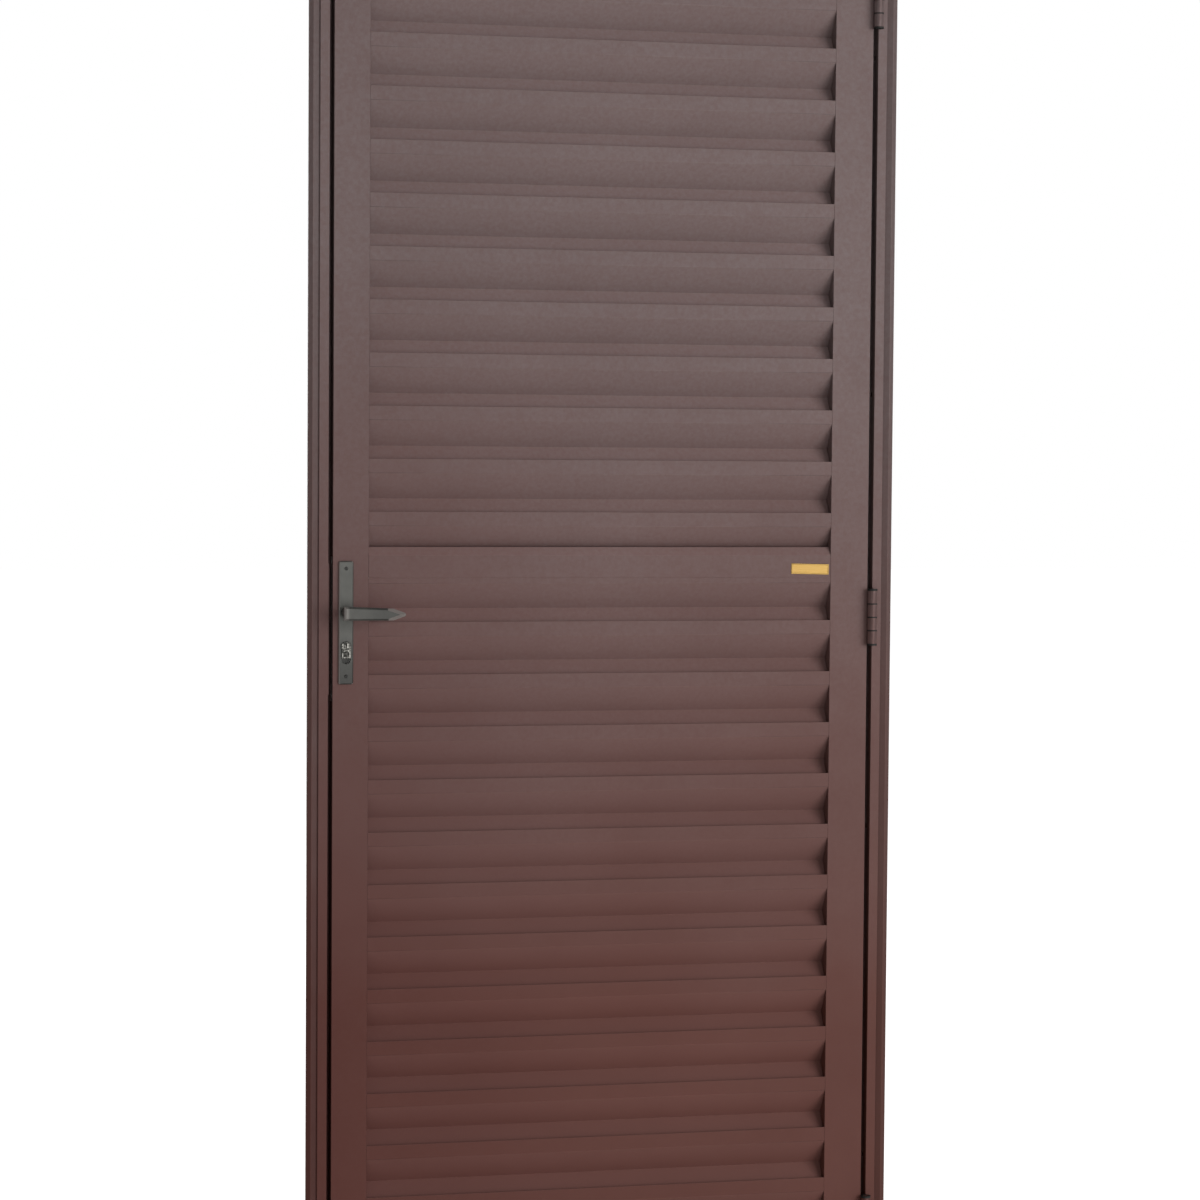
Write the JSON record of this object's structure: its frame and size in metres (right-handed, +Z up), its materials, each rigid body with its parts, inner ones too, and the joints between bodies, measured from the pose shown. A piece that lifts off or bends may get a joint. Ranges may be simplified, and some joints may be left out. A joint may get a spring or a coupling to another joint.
{
  "type": "louvred door",
  "caption": "Painted metal louvred door set: a frame and an inward-opening leaf with bent-sheet slats above and below a mid rail, butt hinges and a lever handle on a long plate.",
  "frame": {"origin": "on the wall face of the hinge jamb, at floor level, in the middle of the frame's depth", "axes": "+X out of the hinge jamb into the wall, to the right as seen from inside; +Y towards the outside; +Z up"},
  "size_m": [0.88, 0.134, 2.15],
  "materials": {
    "brown_paint": "satin chocolate-brown enamel",
    "handle_metal": "satin grey lacquer",
    "nickel": "satin nickel",
    "zinc_steel": "zinc-plated",
    "gold_plate": "pale gold"
  },
  "bodies": {
    "frame": {"hinge_jamb": "brown_paint", "lock_jamb": "brown_paint", "frame_head": "brown_paint", "strike_plate": "brown_paint", "top_hinge_frame_half": "brown_paint", "middle_hinge_frame_half": "brown_paint", "bottom_hinge_frame_half": "brown_paint"},
    "leaf": {"lock_stile": "brown_paint", "hinge_stile": "brown_paint", "top_rail": "brown_paint", "mid_rail": "brown_paint", "bottom_rail": "brown_paint", "upper_slats": "brown_paint", "lower_slats": "brown_paint", "top_hinge_leaf_half": "brown_paint", "middle_hinge_leaf_half": "brown_paint", "bottom_hinge_leaf_half": "brown_paint", "mortise_lock": "zinc_steel", "latch_bolt": "zinc_steel", "dead_bolt": "zinc_steel", "key_cylinder": "nickel", "inside_lock_plate": "handle_metal", "outside_lock_plate": "handle_metal"},
    "handle": {"spindle": "zinc_steel", "inside_lever": "handle_metal", "outside_lever": "handle_metal"}
  },
  "joints": [
    {"name": "leaf_swing", "type": "hinge", "parent": "frame", "child": "leaf", "pos_m": [-0.0235, -0.0405, 1.0665], "axis": [0, 0, 1], "range_deg": [0, 170]},
    {"name": "lever_turn", "type": "hinge", "parent": "leaf", "child": "handle", "pos_m": [-0.816, -0.0175, 1.077], "axis": [0, 1, 0], "range_deg": [0, 40], "stiffness_Nm_per_rad": 2, "springref_deg": -20.05}
  ]
}
